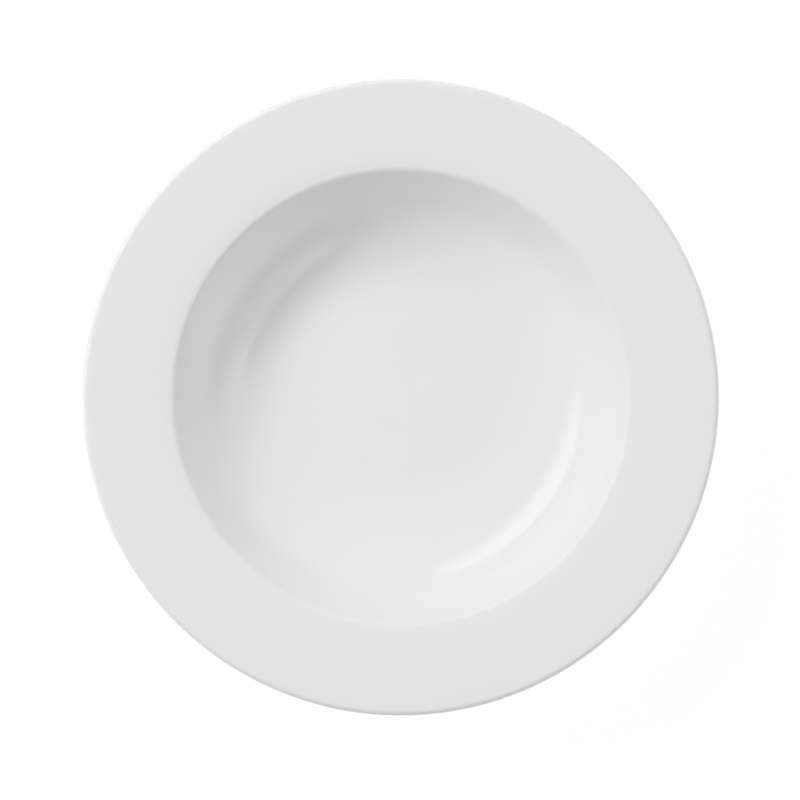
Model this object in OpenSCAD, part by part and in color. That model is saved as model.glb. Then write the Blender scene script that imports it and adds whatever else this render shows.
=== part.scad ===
// Rimmed soup plate in glazed white porcelain, fired in one piece.
// The body is one section turned about the upright axis. The glaze is a thin skin of glass
// fused to it, in two separate stretches: one over the face, the lip and the back, and one on
// the base inside the foot ring. The ring's own edge, which the plate stands on, is bare.
// Lengths are millimetres. The origin is the middle of the bearing face, with +Z up.

/* [Plate] */
// Overall diameter over the glazed lip
plate_d = 240; // [210:1:280]
// Overall height from the table to the top of the lip
plate_h = 40; // [36:0.5:48]

/* [Rim] */
// Diameter at which the rim's face meets the well's wall, before their edge is rounded
well_d = 172; // [155:1:190]
// Slope of the rim's face over its middle, rising outwards, in degrees
rim_slope = 5; // [2:0.5:10]
// How much steeper the rim's face is beside the well, in degrees
shoulder_steeper = 4; // [0.5:0.5:8]
// Width of that steeper shoulder
shoulder_w = 6; // [4:0.5:10]
// How much flatter the rim's face is beside the lip, in degrees
brim_flatter = 3; // [0.5:0.5:6]
// Width of that flatter brim
brim_w = 5; // [3:0.5:8]
// Rounding between the rim's middle and the shoulder and brim
crown_r = 75; // [20:5:90]
// Thickness of the rim at the lip
lip_t = 4.4; // [3.6:0.1:6]
// Thickness of the rim where it meets the well
rim_root_t = 5.2; // [4.4:0.1:7]
// Rounding of the lip, above and below
lip_r = 2.1; // [1:0.1:2.1]
// Rounding of the edge between the rim's face and the wall
edge_r = 3.5; // [1.5:0.1:6]
// Rounding of the hollow under the rim, where its back meets the wall's
hollow_r = 9; // [4:0.5:14]

/* [Well] */
// Slope of the well's wall, in degrees from level
wall_slope = 53; // [48:1:60]
// Slope at which the bowl's wide rounding passes into the tighter one under the wall, in degrees
bowl_slope = 28; // [20:1:36]
// Thickness of the wall
wall_t = 4.7; // [3.8:0.1:6]
// Thickness of the floor
floor_t = 5.2; // [4:0.1:7]
// Rounding of the bowl, between the floor and that slope
bowl_r = 66; // [40:1:76]
// Rounding between that slope and the wall
heel_r = 26; // [14:0.5:32]
// Rounding between the wall and the belly, on the back
belly_r = 36; // [24:0.5:44]
// Slope of the belly, the stretch of the back between the wall and the foot ring, in degrees
belly_slope = 26; // [20:1:30]

/* [Foot ring] */
// Distance that the ring's outer root stands in from the angle of floor and wall
foot_inset = 9; // [7:0.5:14]
// Width of the ring at its root
foot_w = 6; // [5:0.1:8]
// Height of the ring's outer side
foot_h = 3.8; // [2.8:0.1:4.5]
// Depth of the recess inside the ring
recess_h = 3.2; // [2:0.1:4]
// Slope of both sides of the ring away from upright, in degrees
foot_draft = 14; // [5:1:20]
// Rounding of the bare edge on either side of the bearing face
foot_edge_r = 0.9; // [0.4:0.1:1.2]
// Rounding between the ring and the body
foot_root_r = 1.6; // [0.8:0.1:2.5]

/* [Glaze] */
// Thickness of the glaze
glaze_t = 0.3; // [0.2:0.05:0.5]
// Height above the table at which the glaze stops, on both sides of the ring
bare_h = 1.3; // [0.9:0.1:1.8]

/* [Hidden] */
$fn = 180;

// Share of a straight stretch that the roundings at its two ends may take up together
round_share = 0.96;
// How far a rounding's piece runs past the section, and how much its disc is too large
overrun = 0.2;
touch = 0.002;

// Sloping lines and where they cross, as [distance from the axis, height]
function heading(slope) = [cos(slope), sin(slope)];
function under(slope) = [sin(slope), -cos(slope)];
function meet(p, u, q, v) = p + u * cross(q - p, v) / cross(u, v);

// Slope of the brim, and height of the lip's corner before rounding, so that the rounded lip
// ends at plate_h
brim_slope = rim_slope - brim_flatter;
lip_z = plate_h + lip_r * (tan(brim_slope) + 1 / cos(brim_slope) - 1);
floor_z = recess_h + floor_t;

// Corners of the face, from the lip in to the middle. Floor and wall would meet at floor_end,
// from which the foot ring is set in.
lip = [plate_d / 2, lip_z];
brim = lip - brim_w * [1, tan(brim_slope)];
shoulder_x = well_d / 2 + shoulder_w;
shoulder = [shoulder_x, brim[1] - (brim[0] - shoulder_x) * tan(rim_slope)];
edge = shoulder - shoulder_w * [1, tan(rim_slope + shoulder_steeper)];
floor_mid = [0, floor_z];
floor_end = meet(floor_mid, heading(0), edge, heading(wall_slope));

// The bowl's corner lies where its two roundings leave just enough straight between them
heel_turn = wall_slope - bowl_slope;
bowl_run = (bowl_r * tan(bowl_slope / 2) + heel_r * tan(heel_turn / 2)) / round_share;
heel = meet(floor_mid + [0, bowl_run * sin(bowl_slope)], heading(0), edge, heading(wall_slope));
bowl = heel - bowl_run * heading(bowl_slope);

// Corners of the back, which follow the face at the thickness of the rim and of the wall
rim_back = edge + rim_root_t * under(rim_slope);
rim_back_run = lip + lip_t * under(rim_slope) - rim_back;
wall_back = edge + wall_t * under(wall_slope);
lip_back = meet(rim_back, rim_back_run, lip, heading(90));
hollow = meet(rim_back, rim_back_run, wall_back, heading(wall_slope));
foot_root = [floor_end[0] - foot_inset, foot_h];
belly = meet(foot_root, heading(belly_slope), wall_back, heading(wall_slope));

// Corners of the foot ring and of the recess inside it
foot_outside = [foot_root[0] - foot_h * tan(foot_draft), 0];
recess_root = [foot_root[0] - foot_w, recess_h];
foot_inside = [recess_root[0] + recess_h * tan(foot_draft), 0];
recess_mid = [0, recess_h];

// The glazed section before rounding, from the middle of the recess out over the back, round
// the lip and in over the face. Each row holds a corner, its rounding and the thickness of the
// glaze on the stretch from that corner to the next.
sharp = [
    [recess_mid, 0, glaze_t],
    [recess_root, foot_root_r, glaze_t],
    [foot_inside, foot_edge_r, 0],
    [foot_outside, foot_edge_r, glaze_t],
    [foot_root, foot_root_r, glaze_t],
    [belly, belly_r, glaze_t],
    [hollow, hollow_r, glaze_t],
    [lip_back, lip_r, glaze_t],
    [lip, lip_r, glaze_t],
    [brim, crown_r, glaze_t],
    [shoulder, crown_r, glaze_t],
    [edge, edge_r, glaze_t],
    [heel, heel_r, glaze_t],
    [bowl, bowl_r, glaze_t],
    [floor_mid, 0, 0]
];

// Facts of a section's corner: its place, the ways back and ahead, and which way it turns
function unit(v) = v / norm(v);
function row(rows, i) = rows[(i + len(rows)) % len(rows)];
function at(rows, i) = row(rows, i)[0];
function back(rows, i) = unit(at(rows, i - 1) - at(rows, i));
function ahead(rows, i) = unit(at(rows, i + 1) - at(rows, i));
function half_angle(rows, i) = acos(back(rows, i) * ahead(rows, i)) / 2;
function hollow_corner(rows, i) = cross(ahead(rows, i), back(rows, i)) < 0;

// How far a rounding reaches along the stretches beside its corner, and the largest rounding
// that those stretches have room for
function reach(rows, i) = row(rows, i)[1] / tan(half_angle(rows, i));
function room(rows, i) =
    round_share * norm(at(rows, i + 1) - at(rows, i)) / (reach(rows, i) + reach(rows, i + 1));
function fitted(rows) = [
    for (i = [0 : len(rows) - 1])
        [at(rows, i), rows[i][1] * min(1, room(rows, i - 1), room(rows, i)), rows[i][2]]
];

// The section under the glaze: each stretch is moved inwards by its own glaze, and the
// roundings keep their centres
function bare(rows) = [
    for (i = [0 : len(rows) - 1])
        let (
            skin_back = row(rows, i - 1)[2],
            skin_ahead = rows[i][2],
            into_back = [back(rows, i)[1], -back(rows, i)[0]],
            into_ahead = [-ahead(rows, i)[1], ahead(rows, i)[0]],
            skin = min(skin_back, skin_ahead)
        )
        [
            meet(
                at(rows, i) + skin_back * into_back, back(rows, i),
                at(rows, i) + skin_ahead * into_ahead, ahead(rows, i)
            ),
            max(0, rows[i][1] + (hollow_corner(rows, i) ? skin : -skin)),
            0
        ]
];

glazed_section = fitted(sharp);
body_section = bare(glazed_section);

// What a rounding takes off a corner, or fills in a hollow one. The piece runs past the
// stretches beside the corner, and its disc is a touch too large, so that every edge of it
// crosses the section's and none only meets it. Its corners go round the same way as the
// section's.
module spandrel(rows, i) {
    half = half_angle(rows, i);
    run = rows[i][1] / tan(half);
    to_corner = -unit(back(rows, i) + ahead(rows, i)) * rows[i][1] / sin(half);
    to_back = to_corner + run * back(rows, i);
    to_ahead = to_corner + run * ahead(rows, i);
    sides = hollow_corner(rows, i) ? [to_ahead, to_back] : [to_back, to_ahead];
    grown = 1 + overrun / rows[i][1];
    translate(at(rows, i) - to_corner) difference() {
        polygon([[0, 0], grown * sides[0], grown * to_corner, grown * sides[1]]);
        circle(rows[i][1] + touch);
    }
}

module section(rows) {
    round_corners = [for (i = [0 : len(rows) - 1]) if (rows[i][1] > 0) i];
    difference() {
        union() {
            polygon([for (corner = rows) corner[0]]);
            for (i = round_corners) if (hollow_corner(rows, i)) spandrel(rows, i);
        }
        for (i = round_corners) if (!hollow_corner(rows, i)) spandrel(rows, i);
    }
}

// The section of the glaze, which is missing below the glaze line, and the zone that holds the
// base's share of it
module glaze_section() {
    difference() {
        section(glazed_section);
        section(body_section);
        square([plate_d, bare_h]);
    }
}

module base_zone() {
    square([(foot_outside[0] + foot_inside[0]) / 2, recess_h + floor_t / 2]);
}

module porcelain_body() {
    color("linen") rotate_extrude() section(body_section);
}

module outer_glaze() {
    color("whitesmoke") rotate_extrude() difference() {
        glaze_section();
        base_zone();
    }
}

module base_glaze() {
    color("gainsboro") rotate_extrude() intersection() {
        glaze_section();
        base_zone();
    }
}

porcelain_body();
outer_glaze();
base_glaze();
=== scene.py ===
import math

import bpy
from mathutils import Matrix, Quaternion, Vector


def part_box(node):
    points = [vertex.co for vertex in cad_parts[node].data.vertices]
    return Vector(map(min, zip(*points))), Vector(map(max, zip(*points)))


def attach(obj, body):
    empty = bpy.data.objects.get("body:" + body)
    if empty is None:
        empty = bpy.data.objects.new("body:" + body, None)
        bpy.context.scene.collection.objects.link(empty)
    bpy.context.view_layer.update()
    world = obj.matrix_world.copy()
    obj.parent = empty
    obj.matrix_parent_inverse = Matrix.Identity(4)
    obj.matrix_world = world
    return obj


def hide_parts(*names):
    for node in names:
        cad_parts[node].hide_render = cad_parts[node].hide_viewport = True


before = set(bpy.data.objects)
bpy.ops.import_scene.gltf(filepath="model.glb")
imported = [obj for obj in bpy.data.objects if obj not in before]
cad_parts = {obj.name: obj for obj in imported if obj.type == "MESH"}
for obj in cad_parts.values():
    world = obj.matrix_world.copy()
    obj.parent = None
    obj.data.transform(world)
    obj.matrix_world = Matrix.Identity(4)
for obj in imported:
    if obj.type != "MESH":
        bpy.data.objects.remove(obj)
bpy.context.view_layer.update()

# The plate's driving sizes as in part.scad, in metres and radians.
MM = 0.001
WELL_R = 86 * MM
RIM_SLOPE = math.radians(5)
SHOULDER_SLOPE = RIM_SLOPE + math.radians(4)
SHOULDER_W = 6 * MM
BRIM_SLOPE = RIM_SLOPE - math.radians(3)
BRIM_W = 5 * MM
CROWN_ROUND = 75 * MM
LIP_T = 4.4 * MM
RIM_ROOT_T = 5.2 * MM
LIP_ROUND = 2.1 * MM
EDGE_ROUND = 3.5 * MM
HOLLOW_ROUND = 9 * MM
WALL_SLOPE = math.radians(53)
BOWL_SLOPE = math.radians(28)
WALL_T = 4.7 * MM
FLOOR_T = 5.2 * MM
BOWL_ROUND = 66 * MM
HEEL_ROUND = 26 * MM
BELLY_ROUND = 36 * MM
BELLY_SLOPE = math.radians(26)
FOOT_INSET = 9 * MM
FOOT_W = 6 * MM
FOOT_H = 3.8 * MM
FOOT_DRAFT = math.radians(14)
FOOT_EDGE_ROUND = 0.9 * MM
FOOT_ROOT_ROUND = 1.6 * MM
GLAZE_T = 0.3 * MM
ROUND_SHARE = 0.96

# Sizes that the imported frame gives.
LIP_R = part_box("outer_glaze")[1].x
PLATE_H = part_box("outer_glaze")[1].z
GLAZE_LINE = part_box("outer_glaze")[0].z
RECESS_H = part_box("base_glaze")[1].z - GLAZE_T
FLOOR_Z = RECESS_H + FLOOR_T

# How finely a section is drawn, and how many steps it is turned in.
LONGEST_STEP = 6 * MM
ARC_STEP = 1.6 * MM
ARC_ANGLE = math.radians(5)
SMALL_ROUND = 0.5 * MM
SMALL_ANGLE = math.radians(22)
SHORT_SHARE = 1 / 3
DOT = 0.001 * MM
TURN_STEPS = 288

# Finishes: grades of whiteness, roughness, and the size and depth of what each surface shows.
GLAZE_WHITE = (0.819, 0.82, 0.814, 1)
GLAZE_SHADE = (0.805, 0.806, 0.8, 1)
GLAZE_ROUGH = 0.09
GLAZE_IOR = 1.5
TONE_SIZE = 40 * MM
WAVE_SIZE, WAVE_DEPTH = 30 * MM, 0.05 * MM
SKIN_SIZE, SKIN_DEPTH = 1.6 * MM, 0.004 * MM
RING_SIZE, RING_DEPTH, RING_WOBBLE = 16 * MM, 0.02 * MM, 0.6
CLAY_WHITE = (0.78, 0.76, 0.72, 1)
CLAY_WORN = (0.62, 0.60, 0.57, 1)
CLAY_ROUGH = 0.72
WORN_HEIGHT, WORN_SIZE = 0.35 * MM, 5 * MM
GRAIN_SIZE, GRAIN_DEPTH = 0.25 * MM, 0.02 * MM
# How fine the noise of each is.
TONE_DETAIL, WAVE_DETAIL, SKIN_DETAIL, WORN_DETAIL, GRAIN_DETAIL = 2, 0, 1, 4, 3

# A colour Mix node's two colours and its result, whose names aren't unique.
FIRST_COLOR, SECOND_COLOR, MIXED_COLOR = 6, 7, 2


# Points of a section, as (distance from the axis, height).
def heading(slope):
    return Vector((math.cos(slope), math.sin(slope)))


def under(slope):
    return Vector((math.sin(slope), -math.cos(slope)))


def cross(u, v):
    return u.x * v.y - u.y * v.x


def meet(p, u, q, v):
    """Where the line from p along u crosses the line from q along v."""
    return p + u * cross(q - p, v) / cross(u, v)


def glazed_corners():
    """Corners and roundings of the glazed section, from the recess out over the back, round the
    lip and in over the face."""
    lip_rise = LIP_ROUND * (math.tan(BRIM_SLOPE) + 1 / math.cos(BRIM_SLOPE) - 1)
    lip = Vector((LIP_R, PLATE_H + lip_rise))
    brim = lip - BRIM_W * Vector((1, math.tan(BRIM_SLOPE)))
    shoulder = brim - (brim.x - WELL_R - SHOULDER_W) * Vector((1, math.tan(RIM_SLOPE)))
    edge = shoulder - SHOULDER_W * Vector((1, math.tan(SHOULDER_SLOPE)))
    floor_mid = Vector((0, FLOOR_Z))
    floor_end = meet(floor_mid, heading(0), edge, heading(WALL_SLOPE))
    bowl_reach = BOWL_ROUND * math.tan(BOWL_SLOPE / 2)
    heel_reach = HEEL_ROUND * math.tan((WALL_SLOPE - BOWL_SLOPE) / 2)
    bowl_run = (bowl_reach + heel_reach) / ROUND_SHARE
    heel_level = floor_mid + Vector((0, bowl_run * math.sin(BOWL_SLOPE)))
    heel = meet(heel_level, heading(0), edge, heading(WALL_SLOPE))
    rim_back = edge + RIM_ROOT_T * under(RIM_SLOPE)
    rim_back_run = lip + LIP_T * under(RIM_SLOPE) - rim_back
    wall_back = edge + WALL_T * under(WALL_SLOPE)
    foot_root = Vector((floor_end.x - FOOT_INSET, FOOT_H))
    foot_outside = Vector((foot_root.x - FOOT_H * math.tan(FOOT_DRAFT), 0))
    recess_root = Vector((foot_root.x - FOOT_W, RECESS_H))
    foot_inside = Vector((recess_root.x + RECESS_H * math.tan(FOOT_DRAFT), 0))
    belly = meet(foot_root, heading(BELLY_SLOPE), wall_back, heading(WALL_SLOPE))
    hollow = meet(rim_back, rim_back_run, wall_back, heading(WALL_SLOPE))
    lip_back = meet(rim_back, rim_back_run, lip, heading(math.pi / 2))
    return {
        "recess_mid": (Vector((0, RECESS_H)), 0),
        "recess_root": (recess_root, FOOT_ROOT_ROUND),
        "foot_inside": (foot_inside, FOOT_EDGE_ROUND),
        "foot_outside": (foot_outside, FOOT_EDGE_ROUND),
        "foot_root": (foot_root, FOOT_ROOT_ROUND),
        "belly": (belly, BELLY_ROUND),
        "hollow": (hollow, HOLLOW_ROUND),
        "lip_back": (lip_back, LIP_ROUND),
        "lip": (lip, LIP_ROUND),
        "brim": (brim, CROWN_ROUND),
        "shoulder": (shoulder, CROWN_ROUND),
        "edge": (edge, EDGE_ROUND),
        "heel": (heel, HEEL_ROUND),
        "bowl": (heel - bowl_run * heading(BOWL_SLOPE), BOWL_ROUND),
        "floor_mid": (floor_mid, 0),
    }


def body_corners(glazed):
    """The same corners under the glaze: each stretch lies one glaze thickness further in, apart
    from the bare bearing face, and the roundings keep their centres."""
    names = list(glazed)
    inner = {}
    for i, name in enumerate(names):
        corner, rounding = glazed[name]
        back = (glazed[names[i - 1]][0] - corner).normalized()
        ahead = (glazed[names[(i + 1) % len(names)]][0] - corner).normalized()
        skin_back = 0 if name in ("foot_outside", "recess_mid") else GLAZE_T
        skin_ahead = 0 if name in ("foot_inside", "floor_mid") else GLAZE_T
        start = corner + skin_back * Vector((back.y, -back.x))
        end = corner + skin_ahead * Vector((-ahead.y, ahead.x))
        skin = min(skin_back, skin_ahead)
        grows = skin if cross(ahead, back) < 0 else -skin
        inner[name] = (meet(start, back, end, ahead), max(0, rounding + grows))
    return inner


def glaze_end(root, foot, side):
    """The two corners of a glaze's rounded end, on the ring's side between its root and foot.
    side is 1 where the body lies towards the axis and -1 where it lies away from it."""
    run = (root - foot).normalized()
    outer = foot + run * (GLAZE_LINE / run.y)
    inner = outer + side * GLAZE_T * Vector((-run.y, run.x))
    return [(outer, GLAZE_T / 2), (inner, GLAZE_T / 2)]


# A section is drawn as by hand, from a single dot: it is extruded along each straight and spun
# round the middle of each rounding, and the finished line is spun round the plate's axis.
def start_line(name, point):
    bpy.ops.object.select_all(action="DESELECT")
    bpy.ops.mesh.primitive_plane_add(size=DOT, calc_uvs=False, location=(point.x, 0, point.y))
    bpy.ops.object.transform_apply(location=True, rotation=True, scale=True)
    piece = bpy.context.object
    piece.name = name
    piece.data.name = name
    bpy.ops.object.mode_set(mode="EDIT")
    bpy.ops.mesh.select_all(action="SELECT")
    bpy.ops.mesh.merge(type="CENTER")
    return piece


def draw_straight(start, end):
    """One straight stretch, with a short step at both ends that keeps its shading flat."""
    run = end - start
    short = min(ARC_STEP, run.length * SHORT_SHARE)
    middle = run.length - 2 * short
    count = max(1, math.ceil(middle / LONGEST_STEP))
    for step in [short] + [middle / count] * count + [short]:
        move = run.normalized() * step
        bpy.ops.mesh.extrude_vertices_move(TRANSFORM_OT_translate={"value": (move.x, 0, move.y)})


def draw_rounding(middle, rounding, turn):
    """One rounding. A positive turn goes from the distance's direction towards the height's,
    which the spin operator does about +Y."""
    if rounding < SMALL_ROUND:
        steps = math.ceil(abs(turn) / SMALL_ANGLE)
    else:
        steps = math.ceil(max(abs(turn) / ARC_ANGLE, rounding * abs(turn) / ARC_STEP))
    axis = (0, math.copysign(1, turn), 0)
    bpy.ops.mesh.spin(steps=steps, angle=abs(turn), center=(middle.x, 0, middle.y), axis=axis)


def draw_section(name, corners):
    """An open line from the first corner to the last, rounded at those between them."""
    place = corners[0][0]
    piece = start_line(name, place)
    for i in range(1, len(corners) - 1):
        corner, rounding = corners[i]
        back = (corners[i - 1][0] - corner).normalized()
        ahead = (corners[i + 1][0] - corner).normalized()
        half = math.acos(back.dot(ahead)) / 2
        reach = rounding / math.tan(half)
        middle = corner + (back + ahead).normalized() * rounding / math.sin(half)
        turn = math.copysign(math.pi - 2 * half, cross(ahead, back))
        draw_straight(place, corner + reach * back)
        draw_rounding(middle, rounding, turn)
        place = corner + reach * ahead
    draw_straight(place, corners[-1][0])
    return piece


def turn_section(piece):
    """Turns the drawn line round the plate's axis and closes the seam and the two poles."""
    bpy.ops.mesh.select_all(action="SELECT")
    bpy.ops.mesh.spin(steps=TURN_STEPS, angle=2 * math.pi, center=(0, 0, 0), axis=(0, 0, 1))
    bpy.ops.mesh.select_all(action="SELECT")
    bpy.ops.mesh.remove_doubles(threshold=DOT)
    bpy.ops.mesh.normals_make_consistent(inside=False)
    bpy.ops.object.mode_set(mode="OBJECT")
    bpy.ops.object.shade_smooth()
    return piece


# Materials
class Finish:
    """A Principled material and short calls to add nodes to it."""

    def __init__(self, name, base_color, roughness):
        self.material = bpy.data.materials.new(name)
        self.material.use_nodes = True
        self.tree = self.material.node_tree
        self.shader = self.tree.nodes["Principled BSDF"]
        self.shader.inputs["Base Color"].default_value = base_color
        self.shader.inputs["Roughness"].default_value = roughness
        self.place = self.node("ShaderNodeTexCoord").outputs["Object"]

    def node(self, kind, **values):
        made = self.tree.nodes.new(kind)
        for key, value in values.items():
            setattr(made, key, value)
        return made

    def link(self, output, socket):
        self.tree.links.new(output, socket)

    def noise(self, feature, detail):
        """Noise whose features are about that size in metres."""
        made = self.node("ShaderNodeTexNoise")
        made.inputs["Scale"].default_value = 1 / feature
        made.inputs["Detail"].default_value = detail
        self.link(self.place, made.inputs["Vector"])
        return made.outputs["Fac"]

    def between(self, factor, first, second):
        """The colour between two colours, by a factor from 0 to 1."""
        mix = self.node("ShaderNodeMix", data_type="RGBA")
        self.link(factor, mix.inputs["Factor"])
        mix.inputs[FIRST_COLOR].default_value = first
        mix.inputs[SECOND_COLOR].default_value = second
        return mix.outputs[MIXED_COLOR]

    def relief(self, height, depth, under=None):
        """A bump of that depth in metres, on top of another one."""
        bump = self.node("ShaderNodeBump")
        bump.inputs["Strength"].default_value = 1
        bump.inputs["Distance"].default_value = depth
        self.link(height, bump.inputs["Height"])
        if under:
            self.link(under, bump.inputs["Normal"])
        return bump.outputs["Normal"]


def glaze_finish(name):
    """Glossy white glaze: faintly uneven in tone, in level and in its fine skin."""
    finish = Finish(name, GLAZE_WHITE, GLAZE_ROUGH)
    finish.shader.inputs["IOR"].default_value = GLAZE_IOR
    tone = finish.between(finish.noise(TONE_SIZE, TONE_DETAIL), GLAZE_WHITE, GLAZE_SHADE)
    finish.link(tone, finish.shader.inputs["Base Color"])
    wave = finish.relief(finish.noise(WAVE_SIZE, WAVE_DETAIL), WAVE_DEPTH)
    skin = finish.relief(finish.noise(SKIN_SIZE, SKIN_DETAIL), SKIN_DEPTH, wave)
    finish.link(skin, finish.shader.inputs["Normal"])
    return finish


def turned_glaze_finish(name):
    """The base's glaze, through which the rings left by turning still show."""
    finish = glaze_finish(name)
    rings = finish.node("ShaderNodeTexWave", wave_type="RINGS", rings_direction="Z")
    rings.inputs["Scale"].default_value = 1 / RING_SIZE
    rings.inputs["Distortion"].default_value = RING_WOBBLE
    finish.link(finish.place, rings.inputs["Vector"])
    skin = finish.shader.inputs["Normal"].links[0].from_socket
    turned = finish.relief(rings.outputs["Fac"], RING_DEPTH, skin)
    finish.link(turned, finish.shader.inputs["Normal"])
    return finish


def clay_finish(name):
    """Bare fired porcelain: matt, finely grained, and greyed where it has stood on tables."""
    finish = Finish(name, CLAY_WHITE, CLAY_ROUGH)
    height = finish.node("ShaderNodeSeparateXYZ")
    finish.link(finish.place, height.inputs[0])
    worn = finish.node("ShaderNodeMapRange")
    worn.inputs["From Min"].default_value = WORN_HEIGHT
    worn.inputs["From Max"].default_value = 0
    finish.link(height.outputs["Z"], worn.inputs["Value"])
    patchy = finish.node("ShaderNodeMath", operation="MULTIPLY")
    finish.link(worn.outputs["Result"], patchy.inputs[0])
    finish.link(finish.noise(WORN_SIZE, WORN_DETAIL), patchy.inputs[1])
    tone = finish.between(patchy.outputs["Value"], CLAY_WHITE, CLAY_WORN)
    finish.link(tone, finish.shader.inputs["Base Color"])
    grain = finish.relief(finish.noise(GRAIN_SIZE, GRAIN_DETAIL), GRAIN_DEPTH)
    finish.link(grain, finish.shader.inputs["Normal"])
    return finish


def add_piece(name, corners, finish):
    """Makes one piece, which stands for the CAD node of its name."""
    piece = turn_section(draw_section(name, corners))
    piece.data.materials.append(finish.material)
    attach(piece, "root")
    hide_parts(name.removesuffix("_turned"))


def make_outer_glaze(outside, inside):
    """The skin over the face, the lip and the back, down to the glaze line outside the ring."""
    names = list(outside)
    back_to_face = names[names.index("foot_root"):]
    face_to_back = [outside[name] for name in reversed(back_to_face)]
    end = glaze_end(outside["foot_root"][0], outside["foot_outside"][0], 1)
    line = face_to_back + end + [inside[name] for name in back_to_face]
    add_piece("outer_glaze_turned", line, glaze_finish("white_glaze"))


def make_base_glaze(outside, inside):
    """The skin on the base, inside the foot ring."""
    end = glaze_end(outside["recess_root"][0], outside["foot_inside"][0], -1)
    line = [outside["recess_mid"], outside["recess_root"]] + end
    line += [inside["recess_root"], inside["recess_mid"]]
    finish = turned_glaze_finish("white_glaze_turned")
    add_piece("base_glaze_turned", line, finish)


def make_porcelain_body(inside):
    """The fired body under both glazes, bare where it stands on the table."""
    line = list(inside.values())
    add_piece("porcelain_body_turned", line, clay_finish("bare_porcelain"))


def build_plate():
    outside = glazed_corners()
    inside = body_corners(outside)
    make_outer_glaze(outside, inside)
    make_base_glaze(outside, inside)
    make_porcelain_body(inside)


# Studio. Directions are an azimuth from +X towards +Y and an elevation, in degrees, and a
# radiance of 1 is white.
CAMERA_LENS = 120
SENSOR = 36
VIEW_WIDTH = 301.1 * MM
VIEW_SHIFT = Vector((-0.26 * MM, -1.02 * MM))

# What mirrors and the camera see of the air, what matt faces get from it, and what they get
# from below, where the air stands in for the table's own light.
AIR_SEEN = 1.0
AIR_LIGHT = 0.03
GROUND_LIGHT = 0.9
HORIZON_BLUR = 0.02
LAMP_DISTANCE = 1.8
# Soft lamps that light the plate: direction, width and height in metres, and radiance.
LAMPS = {
    "window_lamp": (140.5, 38, 2.2, 0.38, 4.6),
    "window_core_lamp": (140.5, 38, 1.2, 0.2, 20.9),
    "right_lamp": (0, 30, 1.7, 0.9, 1.15),
    "far_right_lamp": (42, 25, 1.4, 0.8, 1.65),
    "bottom_lamp": (270, 28, 1.6, 0.8, 0.9),
    "left_lamp": (195, 20, 1.9, 0.8, 1.35),
    "corner_lamp": (315, 48, 1.6, 1.0, 1.95),
    "top_lamp": (85, 12, 1.8, 0.5, 0.8),
}
# What the glaze mirrors, as cards: direction and distance of the middle, roll in degrees, and
# half width and half height in metres. Before that scale a card is 2 m across.
WINDOW_CARD = (140.5, 35.9, 1.6, 4.5, 1.03, 0.49)
CARD_SPAN = 2
# The window's share of its card's height, how far its ends bend up in its half heights, its
# glow over the air's and how much of that its ends lose. Its outline is that of a rounded
# rectangle, from the powers of the place along and across it, and is soft over the last figures.
WINDOW_SHARE = 0.5
WINDOW_BEND = 0.5
WINDOW_GLOW = 2.05
WINDOW_FADE = 0.5
WINDOW_ENDS = 3
WINDOW_SIDES = 4
WINDOW_OUTLINE = (1.2, 0.8)
REFLECTOR_CARD = (-33, 29.75, 1.6, 0, 0.95, 0.64)
# The reflector's highest glow, where its two ends are soft, and its share of the glow at levels
# from 0 at the card's foot to 1 at its top.
REFLECTOR_GLOW = 2.5
REFLECTOR_ENDS = (1, 0.7)
REFLECTOR_LEVELS = ((0.0, 0.24), (0.36, 0.17), (0.55, 0.42), (0.72, 0.6), (0.86, 0.88), (1.0, 1.0))
# The floor's size and how far below the plate it lies, its paper's white, the glow that the
# camera sees in its place, and the share of the paper that still shows, with the shadow on it.
FLOOR_SIZE = 40
FLOOR_BELOW = 0.02 * MM
FLOOR_WHITE = (0.9, 0.9, 0.9, 1)
FLOOR_GLOW = 0.953
FLOOR_SHARE = 0.06


def towards(azimuth, elevation, distance):
    az, el = math.radians(azimuth), math.radians(elevation)
    level = math.cos(el)
    return distance * Vector((math.cos(az) * level, math.sin(az) * level, math.sin(el)))


def seen_directly(tree):
    """1 for a ray from the camera, off a mirror or through glass, and 0 for one off a matt face."""
    path = tree.nodes.new("ShaderNodeLightPath")
    total = path.outputs["Is Camera Ray"]
    for name in ("Is Glossy Ray", "Is Transmission Ray"):
        add = tree.nodes.new("ShaderNodeMath")
        add.operation = "ADD"
        add.use_clamp = True
        tree.links.new(total, add.inputs[0])
        tree.links.new(path.outputs[name], add.inputs[1])
        total = add.outputs[0]
    return total


def light_world():
    """White air as the camera and mirrors see it, and weak light from it on matt faces, with the
    table's light from below."""
    world = bpy.data.worlds.new("studio_air")
    bpy.context.scene.world = world
    world.use_nodes = True
    tree = world.node_tree
    air = tree.nodes["Background"]
    mix = tree.nodes.new("ShaderNodeMix")
    mix.data_type = "RGBA"
    direction = tree.nodes.new("ShaderNodeTexCoord")
    axes = tree.nodes.new("ShaderNodeSeparateXYZ")
    tree.links.new(direction.outputs["Generated"], axes.inputs[0])
    above = eased(tree, axes.outputs["Z"], -HORIZON_BLUR, HORIZON_BLUR)
    matt = sum_of(tree, "MULTIPLY_ADD", above, AIR_LIGHT - GROUND_LIGHT, GROUND_LIGHT)
    tree.links.new(matt, mix.inputs[FIRST_COLOR])
    mix.inputs[SECOND_COLOR].default_value = (AIR_SEEN, AIR_SEEN, AIR_SEEN, 1)
    tree.links.new(seen_directly(tree), mix.inputs["Factor"])
    tree.links.new(mix.outputs[MIXED_COLOR], air.inputs["Color"])


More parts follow.
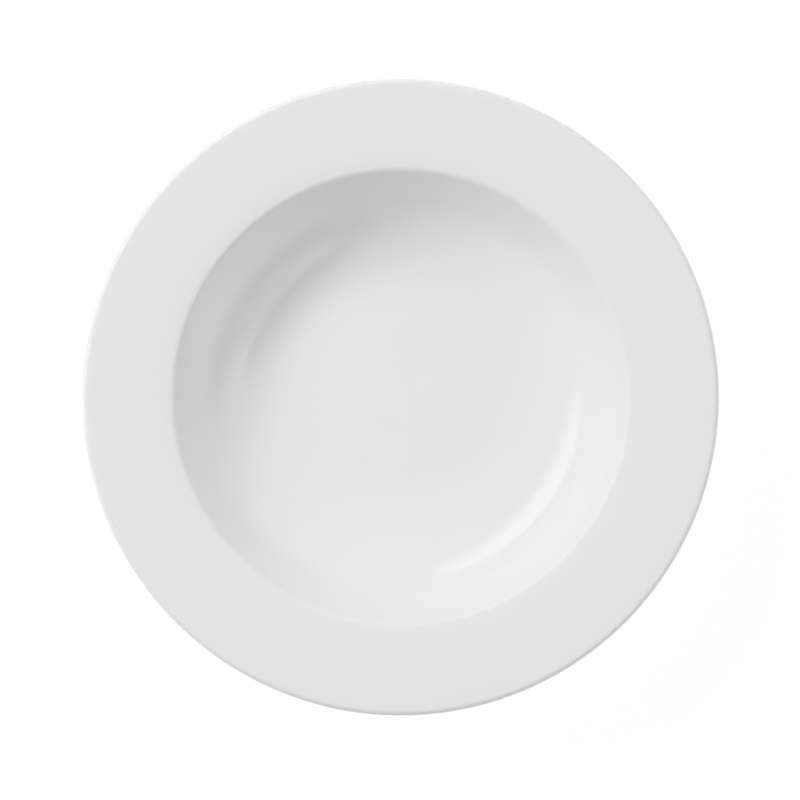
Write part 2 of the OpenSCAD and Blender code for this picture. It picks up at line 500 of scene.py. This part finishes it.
def add_lamp(name, azimuth, elevation, width, height, radiance):
    """A softbox that lights matt faces. What the glaze mirrors is set apart from it."""
    place = towards(azimuth, elevation, LAMP_DISTANCE)
    bpy.ops.object.light_add(type="AREA", location=place)
    lamp = bpy.context.object
    lamp.name = name
    lamp.rotation_euler = (-place).to_track_quat("-Z", "Y").to_euler()
    lamp.data.shape = "RECTANGLE"
    lamp.data.size = width
    lamp.data.size_y = height
    lamp.data.energy = radiance * math.pi * width * height
    lamp.visible_camera = False
    lamp.visible_glossy = False


def add_card(name, azimuth, elevation, distance, roll, half_width, half_height):
    """A card that only the glaze's mirror image shows. Returns its shader's tree, with nodes for
    the place on the card, from -1 to 1 along and across it, and for its glow."""
    place = towards(azimuth, elevation, distance)
    bpy.ops.object.select_all(action="DESELECT")
    bpy.ops.mesh.primitive_plane_add(size=CARD_SPAN, location=place)
    card = bpy.context.object
    card.name = name
    card.rotation_mode = "QUATERNION"
    facing = (-place).to_track_quat("Z", "Y")
    card.rotation_quaternion = Quaternion(place.normalized(), math.radians(roll)) @ facing
    card.scale = (half_width, half_height, 1)
    card.visible_camera = False
    card.visible_diffuse = False
    card.visible_shadow = False
    material = bpy.data.materials.new(name)
    material.use_nodes = True
    tree = material.node_tree
    tree.nodes.clear()
    place_on_card = tree.nodes.new("ShaderNodeTexCoord")
    axes = tree.nodes.new("ShaderNodeSeparateXYZ")
    tree.links.new(place_on_card.outputs["Object"], axes.inputs[0])
    glow = tree.nodes.new("ShaderNodeEmission")
    out = tree.nodes.new("ShaderNodeOutputMaterial")
    tree.links.new(glow.outputs[0], out.inputs["Surface"])
    card.data.materials.append(material)
    return tree, axes.outputs, glow.inputs["Strength"]


def sum_of(tree, operation, first, second, third=None):
    """One sum in a shader, of numbers or of other nodes' outputs."""
    node = tree.nodes.new("ShaderNodeMath")
    node.operation = operation
    for socket, value in zip(node.inputs, (first, second, third)):
        if isinstance(value, (int, float)):
            socket.default_value = value
        elif value:
            tree.links.new(value, socket)
    return node.outputs[0]


def eased(tree, value, start, end):
    """Rises softly from 0 to 1 as the value goes from start to end."""
    node = tree.nodes.new("ShaderNodeMapRange")
    node.interpolation_type = "SMOOTHSTEP"
    node.inputs["From Min"].default_value = start
    node.inputs["From Max"].default_value = end
    tree.links.new(value, node.inputs["Value"])
    return node.outputs["Result"]


def add_window():
    """A long window on its card, bent up and fading towards its two ends, with air about it."""
    tree, place, strength = add_card("window_card", *WINDOW_CARD)
    along = sum_of(tree, "MULTIPLY", place["X"], place["X"])
    across = sum_of(tree, "MULTIPLY", place["Y"], 1 / WINDOW_SHARE)
    bent = sum_of(tree, "MULTIPLY_ADD", along, -WINDOW_BEND, across)
    ends = sum_of(tree, "POWER", along, WINDOW_ENDS)
    outline = sum_of(tree, "ADD", ends, sum_of(tree, "POWER", bent, WINDOW_SIDES))
    faded = sum_of(tree, "MULTIPLY_ADD", along, -WINDOW_FADE, 1)
    shaped = sum_of(tree, "MULTIPLY", faded, eased(tree, outline, *WINDOW_OUTLINE))
    glow = sum_of(tree, "MULTIPLY", shaped, WINDOW_GLOW)
    tree.links.new(sum_of(tree, "ADD", glow, AIR_SEEN), strength)


def add_reflector():
    """A pale reflector opposite the window: brightest at its sharp top, fading into the air
    towards its two ends."""
    tree, place, strength = add_card("reflector_card", *REFLECTOR_CARD)
    level = sum_of(tree, "MULTIPLY_ADD", place["Y"], 1 / CARD_SPAN, 1 / CARD_SPAN)
    shares = tree.nodes.new("ShaderNodeValToRGB")
    tree.links.new(level, shares.inputs["Fac"])
    stops = shares.color_ramp.elements
    for at, _ in REFLECTOR_LEVELS[1:-1]:
        stops.new(at)
    for stop, (at, share) in zip(stops, REFLECTOR_LEVELS):
        stop.color = (share, share, share, 1)
    over_air = sum_of(tree, "MULTIPLY_ADD", shares.outputs["Color"], REFLECTOR_GLOW, -AIR_SEEN)
    along = sum_of(tree, "ABSOLUTE", place["X"], 0)
    shaped = sum_of(tree, "MULTIPLY", over_air, eased(tree, along, *REFLECTOR_ENDS))
    tree.links.new(sum_of(tree, "ADD", shaped, AIR_SEEN), strength)


def add_floor():
    """A plain pale table, a hair below the plate. Camera and mirror rays from above see it nearly
    white, with the plate's shadow, and from below they pass it."""
    bpy.ops.object.select_all(action="DESELECT")
    bpy.ops.mesh.primitive_plane_add(size=FLOOR_SIZE, location=(0, 0, -FLOOR_BELOW))
    floor = bpy.context.object
    floor.name = "studio_floor"
    floor.visible_diffuse = False
    floor.visible_shadow = False
    material = bpy.data.materials.new("floor_paper")
    material.use_nodes = True
    tree = material.node_tree
    tree.nodes.clear()
    paper = tree.nodes.new("ShaderNodeBsdfDiffuse")
    paper.inputs["Color"].default_value = FLOOR_WHITE
    glow = tree.nodes.new("ShaderNodeEmission")
    glow.inputs["Strength"].default_value = FLOOR_GLOW / (1 - FLOOR_SHARE)
    share = tree.nodes.new("ShaderNodeMath")
    share.operation = "MULTIPLY"
    share.inputs[1].default_value = 1 - FLOOR_SHARE
    tree.links.new(seen_directly(tree), share.inputs[0])
    mix = tree.nodes.new("ShaderNodeMixShader")
    tree.links.new(share.outputs[0], mix.inputs[0])
    tree.links.new(paper.outputs[0], mix.inputs[1])
    tree.links.new(glow.outputs[0], mix.inputs[2])
    side = tree.nodes.new("ShaderNodeNewGeometry")
    clear = tree.nodes.new("ShaderNodeBsdfTransparent")
    one_sided = tree.nodes.new("ShaderNodeMixShader")
    tree.links.new(side.outputs["Backfacing"], one_sided.inputs[0])
    tree.links.new(mix.outputs[0], one_sided.inputs[1])
    tree.links.new(clear.outputs[0], one_sided.inputs[2])
    out = tree.nodes.new("ShaderNodeOutputMaterial")
    tree.links.new(one_sided.outputs[0], out.inputs["Surface"])
    floor.data.materials.append(material)


def add_camera():
    """Straight above the plate, far enough for the lip to fill its share of the picture."""
    bpy.ops.object.camera_add()
    camera = bpy.context.object
    camera.name = "camera_above"
    camera.data.lens = CAMERA_LENS
    camera.data.sensor_width = SENSOR
    distance = VIEW_WIDTH * CAMERA_LENS / SENSOR
    camera.location = (VIEW_SHIFT.x, VIEW_SHIFT.y, PLATE_H + distance)
    bpy.context.scene.camera = camera


def build_studio():
    light_world()
    add_floor()
    add_camera()
    for name, lamp in LAMPS.items():
        add_lamp(name, *lamp)
    add_window()
    add_reflector()


build_plate()
build_studio()
bpy.context.scene.view_settings.view_transform = "Standard"
